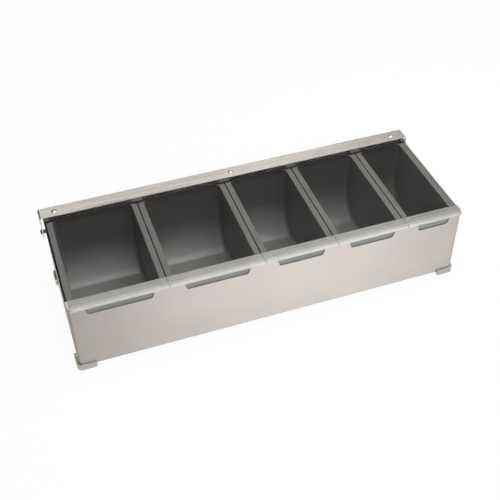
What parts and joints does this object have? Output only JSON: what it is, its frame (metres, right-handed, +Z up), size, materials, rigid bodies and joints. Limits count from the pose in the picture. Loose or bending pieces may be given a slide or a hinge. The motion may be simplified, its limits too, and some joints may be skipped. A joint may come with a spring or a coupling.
{
  "type": "condiment caddy with flip lids",
  "caption": "Steel counter-top trough with lift-out scoop-floored plastic bins under clear flip lids that hinge on a swing-back rail.",
  "frame": {"origin": "centre of the overall box, on the surface that the feet stand on", "axes": "+X along the trough to the user's right, +Y to the rear where the lids hinge, +Z up"},
  "size_m": [0.4624, 0.1656, 0.099],
  "materials": {
    "trough_steel": "stainless sheet, fine horizontal brushing",
    "rail_steel": "stainless strip, fine lengthwise brushing",
    "bin_plastic": "moulded dark grey plastic, fine matt texture",
    "lid_clear": "clear moulded plastic, frosted at the front grip band",
    "hinge_plastic": "moulded black plastic",
    "pin_steel": "polished stainless rivets",
    "pivot_steel": "dark turned steel pins and hinge rod",
    "foot_nickel": "satin nickel, slightly yellow"
  },
  "bodies": {
    "trough": {"housing": "trough_steel", "bin_1": "bin_plastic", "bin_2": "bin_plastic", "bin_3": "bin_plastic", "bin_4": "bin_plastic", "bin_5": "bin_plastic", "pivot_pin_left": "pivot_steel", "pivot_pin_right": "pivot_steel", "pivot_spacer_left": "pivot_steel", "pivot_spacer_right": "pivot_steel", "foot_front_left": "foot_nickel", "foot_front_right": "foot_nickel", "foot_rear_left": "foot_nickel", "foot_rear_right": "foot_nickel", "foot_rivets": "foot_nickel"},
    "cover": {"lid_rail": "rail_steel", "hinge_strip": "hinge_plastic", "hinge_rod": "pivot_steel", "rail_rivets": "pin_steel"},
    "lid_1": {"lid_1": "lid_clear"},
    "lid_2": {"lid_2": "lid_clear"},
    "lid_3": {"lid_3": "lid_clear"},
    "lid_4": {"lid_4": "lid_clear"},
    "lid_5": {"lid_5": "lid_clear"}
  },
  "joints": [
    {"name": "cover_swing", "type": "hinge", "parent": "trough", "child": "cover", "pos_m": [0, 0.0687, 0.07595], "axis": [-1, 0, 0], "range_deg": [0, 130]},
    {"name": "lid_1_flip", "type": "hinge", "parent": "cover", "child": "lid_1", "pos_m": [-0.1706, 0.0634, 0.0952], "axis": [-1, 0, 0], "range_deg": [0, 125]},
    {"name": "lid_2_flip", "type": "hinge", "parent": "cover", "child": "lid_2", "pos_m": [-0.0645, 0.0634, 0.0952], "axis": [-1, 0, 0], "range_deg": [0, 125]},
    {"name": "lid_3_flip", "type": "hinge", "parent": "cover", "child": "lid_3", "pos_m": [0.0307, 0.0634, 0.0952], "axis": [-1, 0, 0], "range_deg": [0, 125]},
    {"name": "lid_4_flip", "type": "hinge", "parent": "cover", "child": "lid_4", "pos_m": [0.115, 0.0634, 0.0952], "axis": [-1, 0, 0], "range_deg": [0, 125]},
    {"name": "lid_5_flip", "type": "hinge", "parent": "cover", "child": "lid_5", "pos_m": [0.1904, 0.0634, 0.0952], "axis": [-1, 0, 0], "range_deg": [0, 125]}
  ]
}
